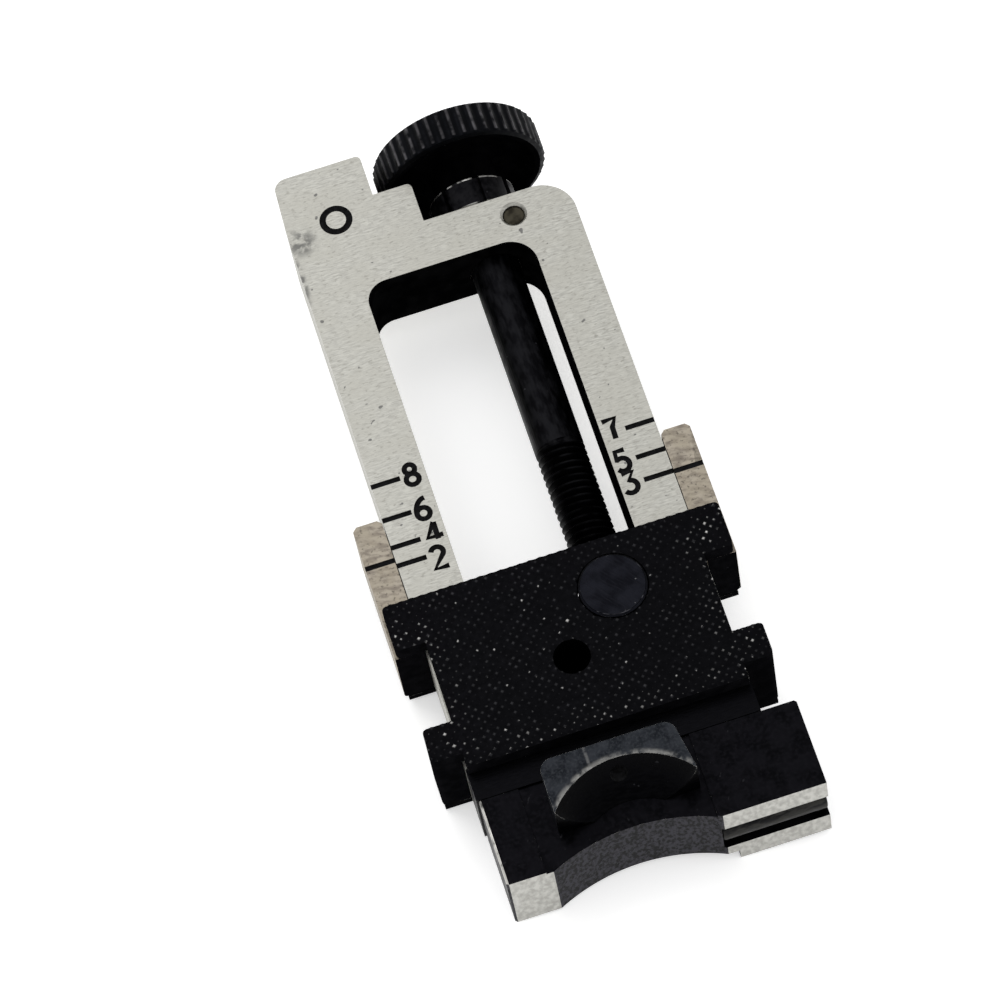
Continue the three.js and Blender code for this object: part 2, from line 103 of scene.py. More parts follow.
# digit, side of the leaf, place of its line, centre of the digit
SCALE = (
    ("8", -1, 31.57, (-7.09, 31.6)), ("6", -1, 28.80, (-7.15, 28.8)),
    ("4", -1, 26.60, (-6.9, 26.75)), ("2", -1, 25.15, (-7.12, 24.85)),
    ("7", 1, 29.97, (6.98, 30.25)), ("5", 1, 27.55, (6.92, 27.65)),
    ("3", 1, 25.72, (6.95, 25.85)),
)
SCALE_LINE = (7.9, 10.3)  # how far out each line starts and ends
PUNCH_MARK = {"at": (-6.34, 52.87), "radius": 0.95, "stroke": 0.25}


# ---- materials --------------------------------------------------------------------------------

class Finish:
    """A metal or paint whose colour, roughness and relief come from noises in leaf millimetres."""

    def __init__(self, name, metallic=1.0):
        self.material = bpy.data.materials.new(name)
        self.material.use_nodes = True
        self.tree = self.material.node_tree
        self.shader = self.tree.nodes["Principled BSDF"]
        self.shader.inputs["Metallic"].default_value = metallic
        place = self.node("ShaderNodeMapping", vector_type="TEXTURE")
        place.inputs["Location"].default_value = LEAF_ORIGIN
        place.inputs["Rotation"].default_value = LEAF_TURN.to_euler()
        place.inputs["Scale"].default_value = (MM, MM, MM)
        self.link(self.node("ShaderNodeTexCoord").outputs["Object"], place.inputs["Vector"])
        self.leaf = place.outputs["Vector"]

    def node(self, kind, **settings):
        node = self.tree.nodes.new(kind)
        for key, value in settings.items():
            setattr(node, key, value)
        return node

    def link(self, source, target):
        self.tree.links.new(source, target)

    def feed(self, value, target):
        """Sets a socket from a number or colour, or links it from another socket."""
        if isinstance(value, bpy.types.NodeSocket):
            self.link(value, target)
        elif isinstance(value, tuple):
            target.default_value = (*value, 1.0)[:4]
        else:
            target.default_value = value

    def noise(self, per_mm, low=0.35, high=0.65, detail=3.0, turn=0.0):
        """A 0 to 1 noise with this many features per mm along X, Y and Z, turned about Z."""
        spread = self.node("ShaderNodeMapping", vector_type="POINT")
        self.link(self.turned(turn), spread.inputs["Vector"])
        spread.inputs["Scale"].default_value = per_mm
        noise = self.node("ShaderNodeTexNoise")
        noise.inputs["Scale"].default_value = 1.0
        noise.inputs["Detail"].default_value = detail
        self.link(spread.outputs["Vector"], noise.inputs["Vector"])
        return self.step(noise.outputs["Fac"], low, high)

    def turned(self, degrees):
        if not degrees:
            return self.leaf
        turn = self.node("ShaderNodeMapping", vector_type="POINT")
        self.link(self.leaf, turn.inputs["Vector"])
        turn.inputs["Rotation"].default_value = (0.0, 0.0, math.radians(degrees))
        return turn.outputs["Vector"]

    def step(self, value, low, high):
        """0 at low, 1 at high and smooth between them; low may be the larger of the two."""
        step = self.node("ShaderNodeMapRange", interpolation_type="SMOOTHSTEP")
        self.link(value, step.inputs["Value"])
        step.inputs["From Min"].default_value = min(low, high)
        step.inputs["From Max"].default_value = max(low, high)
        step.inputs["To Min"].default_value = 0.0 if low < high else 1.0
        step.inputs["To Max"].default_value = 1.0 if low < high else 0.0
        return step.outputs["Result"]

    def along(self, axis):
        """Place along one leaf axis, in mm."""
        split = self.node("ShaderNodeSeparateXYZ")
        self.link(self.leaf, split.inputs["Vector"])
        return split.outputs[axis]

    def math(self, operation, first, second=0.0):
        node = self.node("ShaderNodeMath", operation=operation)
        self.feed(first, node.inputs[0])
        self.feed(second, node.inputs[1])
        return node.outputs["Value"]

    def distance(self, point, squash=(1.0, 1.0, 1.0)):
        """Distance from a point, in mm, with each axis weighted; a zero weight leaves it out."""
        place = self.node("ShaderNodeMapping", vector_type="POINT")
        self.link(self.leaf, place.inputs["Vector"])
        place.inputs["Scale"].default_value = squash
        place.inputs["Location"].default_value = [-p * s for p, s in zip(point, squash)]
        length = self.node("ShaderNodeVectorMath", operation="LENGTH")
        self.link(place.outputs["Vector"], length.inputs[0])
        return length.outputs["Value"]

    def mix(self, first, second, share):
        node = self.node("ShaderNodeMix", data_type="RGBA")
        self.feed(share, node.inputs["Factor"])
        self.feed(first, node.inputs[6])
        self.feed(second, node.inputs[7])
        return node.outputs[2]

    def rough(self, smooth, dull, share):
        node = self.node("ShaderNodeMapRange")
        self.link(share, node.inputs["Value"])
        node.inputs["To Min"].default_value = smooth
        node.inputs["To Max"].default_value = dull
        self.link(node.outputs["Result"], self.shader.inputs["Roughness"])

    def relief(self, height, depth_mm):
        bump = self.node("ShaderNodeBump")
        bump.inputs["Distance"].default_value = depth_mm * MM
        bump.inputs["Strength"].default_value = 1.0
        self.link(height, bump.inputs["Height"])
        self.link(bump.outputs["Normal"], self.shader.inputs["Normal"])

    def colour(self, value):
        self.feed(value, self.shader.inputs["Base Color"])
        return self.material


def with_painted_shade_below(f, colour):
    """The same colour above the line, and black below it: painted shade on the leaf under the plate's lower edge.
    """
    black = f.step(f.along("Y"), PAINTED_SHADE_BELOW_Y + 0.05, PAINTED_SHADE_BELOW_Y - 0.05)
    return f.mix(colour, (0.0045, 0.0045, 0.0055), black)


def bare_steel():
    """Satin steel with short grain across the leaf, speckle, small pits and a stain by the ear."""
    f = Finish("bare_steel")
    grain = f.noise((1.5, 9.0, 4.0), 0.3, 0.7, detail=5)
    cloud = f.noise((0.3, 0.45, 0.3), 0.35, 0.7)
    speck = f.noise((2.4, 5.6, 4.2), 0.56, 0.7, detail=3)
    pits = f.noise((1.5, 1.8, 1.5), 0.715, 0.75, detail=1.5)
    spot = f.step(f.distance((-9.2, 51.9, 0), (1, 1, 1)), 1.5, 0.4)
    streak = f.step(f.distance((-10.0, 48.9, 0), (2.6, 0.42, 1.2)), 1.2, 0.3)
    stain = f.math("MULTIPLY", f.math("MAXIMUM", spot, streak), f.noise((1.6, 1.6, 1.6), 0.36, 0.58))
    colour = f.mix((0.31, 0.305, 0.28), (0.52, 0.515, 0.475), grain)
    colour = f.mix(colour, (0.4, 0.392, 0.352), f.math("MULTIPLY", cloud, 0.5))
    colour = f.mix(colour, (0.27, 0.262, 0.235), f.math("MULTIPLY", speck, 0.75))
    colour = f.mix(colour, (0.1, 0.1, 0.1), f.math("MULTIPLY", pits, 0.8))
    colour = f.mix(colour, (0.09, 0.09, 0.088), f.math("MULTIPLY", stain, 0.8))
    f.rough(0.38, 0.54, grain)
    f.relief(f.math("SUBTRACT", grain, pits), 0.006)
    return f.colour(with_painted_shade_below(f, colour))


def bare_edge():
    """The edges of the bare leaf, painted lighter than its face: wear with a painted highlight along them."""
    f = Finish("bare_edge")
    wear_and_highlight = f.noise((1.1, 1.1, 1.1), 0.25, 0.6, detail=5)
    f.rough(0.5, 0.34, wear_and_highlight)
    f.relief(wear_and_highlight, 0.006)
    return f.colour(with_painted_shade_below(f, f.mix((0.4, 0.392, 0.36), (0.82, 0.81, 0.77), wear_and_highlight)))


def dark_steel_and_shade(name, dark, light, scale, roughness=(0.4, 0.6), share=0.5, matt=False):
    """Blued or black steel, and painted shade: two close tones, dull patches and a very few light specks. A matt
    one has no metallic shine, for surfaces that stay dark at every angle; on the window's walls, the peep hole and
    the head's dish it is painted shade."""
    f = Finish(name, metallic=0.0 if matt else 1.0)
    patch = f.noise(scale, 0.35, 0.68, detail=4)
    specks = f.math("MULTIPLY", f.noise((2.3, 2.3, 2.3), 0.775, 0.81, detail=1), 0.5)
    colour = f.mix(dark, light, f.math("MULTIPLY", patch, share))
    colour = f.mix(colour, tuple(min(1.0, 4 * c + 0.01) for c in light), specks)
    if matt:
        f.shader.inputs["Specular IOR Level"].default_value = 0.0
    f.rough(*roughness, patch)
    f.relief(patch, 0.004)
    return f.colour(colour)


def foot_blue():
    """The foot's black blueing, with faint slanting scratches and a few creases across it."""
    f = Finish("foot_blue")
    patch = f.noise((0.8, 0.8, 0.8), 0.35, 0.68, detail=4)
    scratches = f.noise((3.0, 1.2, 1.0), 0.7, 0.76, detail=3, turn=28)
    creases = f.noise((0.5, 5.0, 1.0), 0.72, 0.78, detail=3, turn=-4)
    grain = f.noise((3.5, 3.5, 3.5), 0.4, 0.7, detail=3)
    colour = f.mix((0.0026, 0.0026, 0.0032), (0.0068, 0.0066, 0.0084), patch)
    colour = f.mix(colour, (0.0095, 0.0092, 0.0115), f.math("MULTIPLY", grain, 0.45))
    marks = f.math("MAXIMUM", scratches, creases)
    colour = f.mix(colour, (0.03, 0.03, 0.033), f.math("MULTIPLY", marks, 0.5))
    f.rough(0.42, 0.6, patch)
    f.relief(patch, 0.004)
    return f.colour(colour)


def foot_edge():
    """The foot's edges: dark with bright nicks, and painted light along the left front edge."""
    f = Finish("foot_edge")
    nicks = f.noise((1.4, 1.4, 1.4), 0.52, 0.66, detail=5)
    # a patchy light strip along the left front edge
    left = f.math("MULTIPLY", f.step(f.along("X"), -9.3, -9.6), f.step(f.along("Z"), -0.6, -0.3))
    worn = f.math("MULTIPLY", left, f.noise((0.8, 0.8, 0.8), 0.28, 0.5))
    wear_and_highlight = f.math("MAXIMUM", nicks, worn)
    f.rough(0.5, 0.34, wear_and_highlight)
    return f.colour(f.mix((0.007, 0.007, 0.008), (0.5, 0.49, 0.46), wear_and_highlight))


def thread_black():
    """The thread: black in its grooves, with a patchy painted highlight on its crests."""
    f = Finish("thread_black")
    out = f.distance((SCREW["x"], 0, SCREW["z"]), (1, 0, 1))
    # the crests are painted lighter: a painted highlight
    crest = f.step(out, SCREW["radius"] - 0.12, SCREW["radius"] - 0.02)
    wear_and_highlight = f.math("MULTIPLY", crest, f.noise((0.9, 0.9, 0.9), 0.35, 0.62))
    f.rough(0.42, 0.6, f.noise((2, 2, 2)))
    return f.colour(f.mix((0.0014, 0.0014, 0.0017), (0.016, 0.016, 0.018), wear_and_highlight))


def edge_wear_and_highlight(name, base, bright, low, high, scale=(1.1, 1.1, 1.1)):
    """An edge painted lighter in places: the finish worn through to steel, and on the lug and the click hub a
    painted highlight.
    """
    f = Finish(name)
    wear_and_highlight = f.noise(scale, low, high, detail=5)
    f.rough(0.5, 0.32, wear_and_highlight)
    f.relief(wear_and_highlight, 0.006)
    return f.colour(f.mix(base, bright, wear_and_highlight))


def checkered():
    """Black diamonds whose tips are painted bright unevenly, most near the ends and lower edge: painted glints
    along with wear.
    """
    f = Finish("checkered_black")
    tip = f.step(f.along("Z"), 1.275, 1.335)
    # where the tips are painted brightest: painted glints as well as wear
    near_end = f.step(f.math("ABSOLUTE", f.along("X")), 7.6, 11.6)
    near_low = f.step(f.along("Y"), 10.2, 8.7)
    worn = f.math("MAXIMUM", near_end, f.math("MULTIPLY", near_low, 0.8))
    zones = f.noise((0.55, 0.55, 0.0), 0.34, 0.56, detail=3)
    spots = f.math("MULTIPLY", f.noise((2.3, 2.3, 0.0), 0.46, 0.62, detail=1), zones)
    few = f.noise((1.9, 1.9, 0.0), 0.66, 0.72, detail=1)
    wear_and_highlight = f.math("MAXIMUM", f.math("MULTIPLY", spots, worn), f.math("MULTIPLY", few, 0.7))
    light = f.mix((0.022, 0.022, 0.024), (0.6, 0.59, 0.57), wear_and_highlight)
    f.rough(0.36, 0.55, f.noise((2.5, 2.5, 2.5)))
    return f.colour(f.mix((0.0035, 0.0035, 0.0042), light, tip))


def nut_blue():
    """Smooth blue-black end with fine slanting scratches and a few bright nicks."""
    f = Finish("nut_blue")
    scratches = f.noise((9.0, 0.8, 1.0), 0.45, 0.7, detail=4, turn=-38)
    nicks = f.noise((2.4, 2.4, 2.4), 0.74, 0.78, detail=1.5)
    cloud = f.noise((0.8, 0.8, 0.8), 0.35, 0.65)
    colour = f.mix((0.0045, 0.0047, 0.0064), (0.009, 0.0095, 0.0128), cloud)
    colour = f.mix(colour, (0.014, 0.0145, 0.019), f.math("MULTIPLY", scratches, 0.45))
    colour = f.mix(colour, (0.1, 0.1, 0.105), nicks)
    f.rough(0.3, 0.48, scratches)
    f.relief(scratches, 0.004)
    return f.colour(colour)


def worn_blue():
    """The lug's grey-blue face, with one light crease, and worn lighter around its dish."""
    f = Finish("worn_blue")
    cloud = f.noise((0.9, 0.9, 0.9), 0.35, 0.7, detail=5)
    grit = f.noise((5, 5, 5), 0.4, 0.7)
    crease = f.step(f.math("ABSOLUTE", f.math("ADD", f.along("X"), 2.25)), 0.16, 0.03)
    crease = f.math("MULTIPLY", crease, f.noise((1, 2.5, 1), 0.35, 0.6))
    colour = f.mix((0.0095, 0.0108, 0.0135), (0.028, 0.031, 0.037), cloud)
    colour = f.mix(colour, (0.048, 0.052, 0.058), f.math("MULTIPLY", grit, 0.35))
    colour = f.mix(colour, (0.13, 0.13, 0.13), f.math("MULTIPLY", crease, 0.6))
    radius = LUG_DISH_BALL["radius"]
    near_dish = f.step(f.distance(LUG_DISH_BALL["centre"]), radius + 0.42, radius + 0.06)
    worn = f.math("MULTIPLY", near_dish, f.noise((1.4, 1.4, 1.4), 0.34, 0.6, detail=5))
    colour = f.mix(colour, (0.3, 0.295, 0.28), f.math("MULTIPLY", worn, 0.6))
    f.rough(0.38, 0.55, cloud)
    f.relief(grit, 0.006)
    return f.colour(colour)


def patina():
    """Brown-grey mottled steel, the streaks running across the wing."""
    f = Finish("patina_brown")
    streaks = f.noise((1.1, 2.8, 1.1), 0.36, 0.62, detail=5, turn=12)
    warm = f.noise((0.9, 0.7, 0.9), 0.35, 0.65)
    speck = f.noise((4.0, 4.6, 4.0), 0.56, 0.7, detail=2)
    colour = f.mix((0.18, 0.156, 0.13), (0.41, 0.368, 0.305), streaks)
    colour = f.mix(colour, (0.34, 0.3, 0.23), f.math("MULTIPLY", warm, 0.4))
    colour = f.mix(colour, (0.09, 0.078, 0.064), f.math("MULTIPLY", speck, 0.7))
    f.rough(0.42, 0.6, streaks)
    f.relief(streaks, 0.012)
    return f.colour(colour)


def knurl():
    """Black knurl whose ridge tops carry a patchy painted highlight."""
    f = Finish("knurl_black")
    out = f.distance((SCREW["x"], 0, SCREW["z"]), (1, 0, 1))
    ridge = f.step(out, HEAD["radius"] - 0.075, HEAD["radius"] - 0.01)
    wear_and_highlight = f.math("MULTIPLY", ridge, f.noise((1.2, 1.2, 1.2), 0.3, 0.6))
    f.rough(0.42, 0.6, f.noise((2, 2, 2)))
    return f.colour(f.mix((0.0042, 0.0045, 0.0055), (0.06, 0.058, 0.062), wear_and_highlight))


def mottled_grey(name, dark, light, scale=(1.4, 2.2, 2.2)):
    """Dull metal that wanders between two tones."""
    f = Finish(name)
    patch = f.noise(scale, 0.35, 0.66, detail=5)
    f.rough(0.45, 0.7, patch)
    f.relief(patch, 0.01)
    return f.colour(f.mix(dark, light, patch))


def rough_cut():
    """The coarse dark surface of the foot's hollowed end."""
    f = Finish("rough_cut", metallic=0.0)
    f.shader.inputs["Specular IOR Level"].default_value = 0.1
    grit = f.noise((4.2, 4.2, 2.2), 0.38, 0.62, detail=5)
    f.rough(0.6, 0.8, grit)
    f.relief(grit, 0.03)
    return f.colour(f.mix((0.003, 0.003, 0.0036), (0.04, 0.039, 0.046), grit))


def ink():
    """The black of stamped grooves, and the painted shade in the lug's hole."""
    f = Finish("stamp_black", metallic=0.0)
    grit = f.noise((4, 4, 4))
    f.shader.inputs["Specular IOR Level"].default_value = 0.1
    f.rough(0.7, 0.9, grit)
    return f.colour(f.mix((0.002, 0.002, 0.002), (0.009, 0.009, 0.01), grit))


BARE = bare_steel()
BARE_EDGE = bare_edge()
INK = ink()
# hole_black is painted shade on the wall of the plate's peep hole
HOLE_BLACK = dark_steel_and_shade(
    "hole_black", (0.0004, 0.0004, 0.0004), (0.001, 0.001, 0.001), (1.0, 1.0, 1.0), (0.85, 0.95),
    matt=True)
# window_black is painted shade on the walls of the leaf's window
WINDOW_BLACK = dark_steel_and_shade(
    "window_black", (0.001, 0.001, 0.0011), (0.0055, 0.0055, 0.0058), (0.8, 0.8, 0.8), (0.75, 0.9),
    matt=True)
FOOT_BLUE = foot_blue()
FOOT_EDGE = foot_edge()
PAD = mottled_grey("bright_pad", (0.34, 0.335, 0.31), (0.56, 0.555, 0.525), (2.6, 2.6, 1.5))
CUT = rough_cut()
KEY = mottled_grey("key_grey", (0.007, 0.007, 0.0075), (0.04, 0.039, 0.036), (1.1, 2.6, 2.6))
GREY = mottled_grey("pin_grey", (0.05, 0.048, 0.045), (0.16, 0.155, 0.15))
BROWN = mottled_grey("pin_brown", (0.018, 0.016, 0.012), (0.075, 0.068, 0.05), (1.5, 1.5, 1.5))
SPRING = mottled_grey("spring_bright", (0.34, 0.35, 0.37), (0.5, 0.51, 0.52))
CHECKERED = checkered()
CHECKERED_EDGE = edge_wear_and_highlight("checkered_edge", (0.005, 0.005, 0.006), (0.22, 0.22, 0.21), 0.55, 0.68)
NUT = nut_blue()
NUT_EDGE = edge_wear_and_highlight("nut_edge", (0.002, 0.002, 0.003), (0.08, 0.08, 0.09), 0.55, 0.7)
LUG = worn_blue()
# lug_edge is a painted highlight on the lug's upper edges
LUG_EDGE = edge_wear_and_highlight("lug_edge", (0.07, 0.07, 0.07), (0.56, 0.55, 0.52), 0.32, 0.55, (1.8, 1.8, 1.8))
LUG_DISH = dark_steel_and_shade("lug_dish", (0.0016, 0.0016, 0.002), (0.006, 0.006, 0.007), (1.2, 5, 5))
PATINA = patina()
PATINA_EDGE = edge_wear_and_highlight("patina_edge", (0.14, 0.11, 0.09), (0.5, 0.45, 0.38), 0.4, 0.62)
END_BLACK = dark_steel_and_shade(
    "end_black", (0.0028, 0.0028, 0.0034), (0.0075, 0.0073, 0.0085), (1.2, 1.2, 1.2), (0.7, 0.85),
    matt=True)
END_EDGE = edge_wear_and_highlight("end_edge", (0.006, 0.006, 0.007), (0.16, 0.16, 0.155), 0.56, 0.72)
KNURL = knurl()
# head_black is painted near black and matt as painted shade in the head's dish, neck and bore
HEAD_BLACK = dark_steel_and_shade(
    "head_black", (0.0008, 0.0008, 0.001), (0.003, 0.003, 0.0034), (0.7, 0.7, 0.7), (0.7, 0.85),
    matt=True)
# head_edge is a painted highlight: the bright arcs on the click hub's chamfers
HEAD_EDGE = edge_wear_and_highlight("head_edge", (0.012, 0.012, 0.013), (0.36, 0.355, 0.34), 0.4, 0.56)
HUB = dark_steel_and_shade(
    "hub_grey", (0.0035, 0.0035, 0.0042), (0.013, 0.0128, 0.0145), (2.0, 2.0, 2.0), share=0.9)
SHANK = dark_steel_and_shade(
    "shank_black", (0.003, 0.003, 0.0036), (0.0125, 0.0126, 0.0145), (2.4, 0.9, 2.4), share=0.9)
THREADED = thread_black()


# ---- mesh helpers -----------------------------------------------------------------------------

def first_material(bm):
    for face in bm.faces:
        face.material_index = 0


def cad_copy(node):
    """A CAD node's solid in leaf millimetres, with its flat faces made whole again."""
    bm = bmesh.new()
    bm.from_mesh(frame["nodes"][node].data)
    bm.transform(TO_LEAF)
    bmesh.ops.remove_doubles(bm, verts=bm.verts[:], dist=WELD)
    bmesh.ops.dissolve_limit(bm, angle_limit=FLAT, verts=bm.verts[:], edges=bm.edges[:])
    first_material(bm)
    return bm


def soften(bm, width, keep=None, segments=2):
    """Rounds the outer sharp edges; the new narrow faces take the second material."""
    sharp = [
        edge for edge in bm.edges
        if edge.is_manifold and edge.is_convex and edge.calc_face_angle(0.0) > SHARP
        and (keep is None or keep(edge))
    ]
    bmesh.ops.bevel(
        bm, geom=sharp, offset=width, offset_type="OFFSET", segments=segments, profile=0.5,
        affect="EDGES", clamp_overlap=True, material=1,
    )
    return bm


def is_along(edge, axis):
    return abs((edge.verts[0].co - edge.verts[1].co).normalized()[axis]) > 0.99


def is_left_front(edge):
    """Whether an edge is the left front edge of the leaf or the foot."""
    return is_along(edge, 1) and all(
        vert.co.x < LEFT_FRONT["x"] and vert.co.z > LEFT_FRONT["z"] for vert in edge.verts)


def paint(bm, index, test):
    """Gives the faces that pass the test another material; softened edges keep theirs."""
    bm.normal_update()
    for face in bm.faces:
        if face.material_index == 0 and test(face.calc_center_median(), face.normal):
            face.material_index = index


def to_object(bm, name, finishes):
    mesh = bpy.data.meshes.new(name)
    bm.to_mesh(mesh)
    bm.free()
    for finish in finishes:
        mesh.materials.append(finish)
    piece = bpy.data.objects.new(name, mesh)
    scene.collection.objects.link(piece)
    return piece


def baked(piece):
    """The piece with its modifiers applied, as a new bmesh; the piece itself is removed."""
    mesh = bpy.data.meshes.new_from_object(piece.evaluated_get(bpy.context.evaluated_depsgraph_get()))
    bm = bmesh.new()
    bm.from_mesh(mesh)
    bpy.data.meshes.remove(mesh)
    bpy.data.objects.remove(piece)
    return bm


def boolean(bm, finishes, cutter, cutter_finish, operation="DIFFERENCE", crossing=False):
    """bm cut by, or met with, the cutter, whose faces bring their own material along."""
    body = to_object(bm, "boolean_body", finishes)
    tool = to_object(cutter, "boolean_tool", [cutter_finish])
    step = body.modifiers.new("boolean", "BOOLEAN")
    step.solver = "EXACT"
    step.operation = operation
    step.use_self = crossing
    step.material_mode = "TRANSFER"
    step.object = tool
    result = baked(body)
    bpy.data.objects.remove(tool)
    return result


def show(node, bm, finishes):
    """Lays a finished piece into the frame, where it stands for its CAD node."""
    bm.transform(LEAF)
    piece = to_object(bm, node + "_look", finishes)
    piece.data.shade_smooth()
    piece.data.set_sharp_from_angle(angle=SMOOTH)
    for face in piece.data.polygons:
        if face.area > BROAD * MM * MM:
            face.use_smooth = False
    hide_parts(node)
    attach(piece, BODY[node])
    return piece


def block(low, high):
    bm = bmesh.new()
    bmesh.ops.create_cube(bm, size=1.0)
    size = Vector(high) - Vector(low)
    bm.transform(Matrix.Translation((Vector(low) + Vector(high)) / 2) @ Matrix.Diagonal((*size, 1)))
    return bm


def rod_along_x(y, z, radius, x0, x1, sides=32):
    bm = bmesh.new()
    bmesh.ops.create_cone(
        bm, cap_ends=True, segments=sides, radius1=radius, radius2=radius, depth=x1 - x0,
        matrix=Matrix.Translation(((x0 + x1) / 2, y, z)) @ Matrix.Rotation(math.pi / 2, 4, "Y"),
    )
    return bm


def turned(rings, steps):
    """A body turned about the screw's axis. A ring is a place on the axis, or a function of the
    angle that gives a radius and a place along Y."""
    bm = bmesh.new()
    loops = []
    for ring in rings:
        if not callable(ring):
            loops.append([bm.verts.new((SCREW["x"], ring, SCREW["z"]))] * steps)
            continue
        corners_around = []
        for index in range(steps):
            angle = 2 * math.pi * index / steps
            radius, y = ring(angle)
            x, z = radius * math.cos(angle), radius * math.sin(angle)
            corners_around.append(bm.verts.new((SCREW["x"] + x, y, SCREW["z"] + z)))
        loops.append(corners_around)
    for first, second in zip(loops, loops[1:]):
        for index in range(steps):
            after = (index + 1) % steps
            corners = dict.fromkeys((first[index], first[after], second[after], second[index]))
            bm.faces.new(list(corners))
    return bm


def tidy(bm, distance=WELD):
    bmesh.ops.remove_doubles(bm, verts=bm.verts[:], dist=distance)
    bmesh.ops.dissolve_degenerate(bm, dist=distance / 2, edges=bm.edges[:])
    bmesh.ops.recalc_face_normals(bm, faces=bm.faces[:])
    return bm


# ---- stamped marks ----------------------------------------------------------------------------

def arc(x, y, wide, tall, start, stop, steps=12):
    """Points along an ellipse, between two angles in degrees."""
    angles = [math.radians(start + (stop - start) * i / steps) for i in range(steps + 1)]
    return [(x + wide * math.cos(a), y + tall * math.sin(a)) for a in angles]


def loop(x, y, wide, tall, steps=16):
    return arc(x, y, wide, tall, 0, 360, steps)[:-1]


# Each digit is a few strokes in a box from -1 to 1: the points, and whether they close.
DIGITS = {
    "2": [(arc(0, 0.47, 0.48, 0.48, 165, -35) + [(-0.52, -0.95), (0.58, -0.95)], False)],
    "3": [([(-0.45, 0.92), (0.42, 0.92), (-0.05, 0.22)] + arc(-0.06, -0.37, 0.54, 0.58, 80, -150), False)],
    "4": [([(0.2, 0.95), (-0.58, -0.32), (0.66, -0.32)], False), ([(0.2, 0.95), (0.2, -0.62)], False)],
    "5": [([(0.42, 0.92), (-0.32, 0.92), (-0.38, 0.14)] + arc(-0.04, -0.36, 0.54, 0.6, 125, -145), False)],
    "6": [(loop(0.02, -0.42, 0.5, 0.52), True), (arc(0.47, -0.42, 0.95, 1.35, 92, 180), False)],
    "7": [([(-0.55, 0.82), (0.5, 0.9), (0.12, 0.15), (0.08, -0.95)], False)],
    "8": [(loop(0, 0.5, 0.4, 0.43), True), (loop(0, -0.44, 0.5, 0.5), True)],
}


def strokes_cutter(strokes, radius, z):
    """Solid round strokes in the leaf's plane, which cut stamped grooves."""
    curve = bpy.data.curves.new("strokes", "CURVE")
    curve.dimensions = "3D"
    curve.bevel_depth = radius
    curve.bevel_resolution = 2
    curve.use_fill_caps = True
    for points, closed in strokes:
        spline = curve.splines.new("POLY")
        spline.points.add(len(points) - 1)
        for target, (x, y) in zip(spline.points, points):
            target.co = (x, y, z, 1.0)
        spline.use_cyclic_u = closed
    holder = bpy.data.objects.new("strokes", curve)
    scene.collection.objects.link(holder)
    bm = baked(holder)
    return tidy(bm, 0.0005)


def scale_strokes():
    strokes = []
    inner, outer = SCALE_LINE
    for digit, side, line_y, (x, y) in SCALE:
        strokes.append(([(side * inner, line_y), (side * outer, line_y)], False))
        for points, closed in DIGITS[digit]:
            placed = [(x + DIGIT["wide"] * px, y + DIGIT["tall"] * py) for px, py in points]
            strokes.append((placed, closed))
    return strokes


# ---- the leaf ---------------------------------------------------------------------------------

def in_window(centre, normal):
    inside_x = WINDOW["left"] - 0.1 < centre.x < WINDOW["right"] + 0.1
    inside_y = WINDOW["bottom"] - 0.1 < centre.y < WINDOW["top"] + 0.1
    return inside_x and inside_y and abs(normal.z) < 0.4


def make_leaf():
    finishes = [BARE, BARE_EDGE, WINDOW_BLACK]
    bm = soften(cad_copy("leaf_frame"), ROUNDED["leaf"], keep=is_left_front)
    bm = soften(bm, 0.1)
    # the window's walls take window_black, painted shade
    paint(bm, 2, in_window)
    marks = strokes_cutter(scale_strokes(), GROOVE["radius"], GROOVE["lift"])
    bm = boolean(bm, finishes, marks, INK, crossing=True)
    x, y = PUNCH_MARK["at"]
    ring = strokes_cutter([(loop(x, y, PUNCH_MARK["radius"], PUNCH_MARK["radius"], 40), True)],
                          PUNCH_MARK["stroke"], GROOVE["lift"])
    bm = boolean(bm, finishes + [INK], ring, INK)
    show("leaf_frame", bm, finishes + [INK])


def make_pins():
    show("cross_pin", soften(cad_copy("cross_pin"), 0.1), [BROWN, BROWN])
    for node in ("foot_pin_left", "foot_pin_right", "head_pin"):
        show(node, soften(cad_copy(node), 0.06), [GREY, GREY])


# ---- the foot ---------------------------------------------------------------------------------

def make_foot():
    bm = soften(cad_copy("foot_block"), ROUNDED["foot"], keep=is_left_front)
    bm = soften(bm, 0.1)
    paint(bm, 2, lambda centre, normal: normal.y < -0.95 and abs(centre.y) < 0.02)
    paint(bm, 3, lambda centre, normal: normal.y < -0.5 and 0.02 < centre.y < 1.5)
    show("foot_block", bm, [FOOT_BLUE, FOOT_EDGE, PAD, CUT])
    show("foot_key", soften(cad_copy("foot_key"), 0.12), [KEY, KEY])


def make_lug():
    bm = soften(cad_copy("fixed_aperture"), 0.14)
    x, z = LUG_HOLE["x"], LUG_HOLE["z"]
    hole_and_rim = LUG_HOLE["radius"] + 0.16
    bright_above = 1.9
    # the hole's wall and the edges round it are painted with ink as painted shade; the edges below bright_above
    # are painted black too
    for face in bm.faces:
        centre = face.calc_center_median()
        near_hole = math.hypot(centre.x - x, centre.z - z) < hole_and_rim
        rim = face.material_index == 1 and (near_hole or centre.z < bright_above)
        if rim or near_hole and abs(face.normal.y) < 0.3:
            face.material_index = 3
    paint(bm, 2, lambda centre, normal: normal.y < -0.12 and normal.z < 0.75)
    show("fixed_aperture", bm, [LUG, LUG_EDGE, LUG_DISH, INK])


# ---- the elevation screw and its head -----------------------------------------------------------

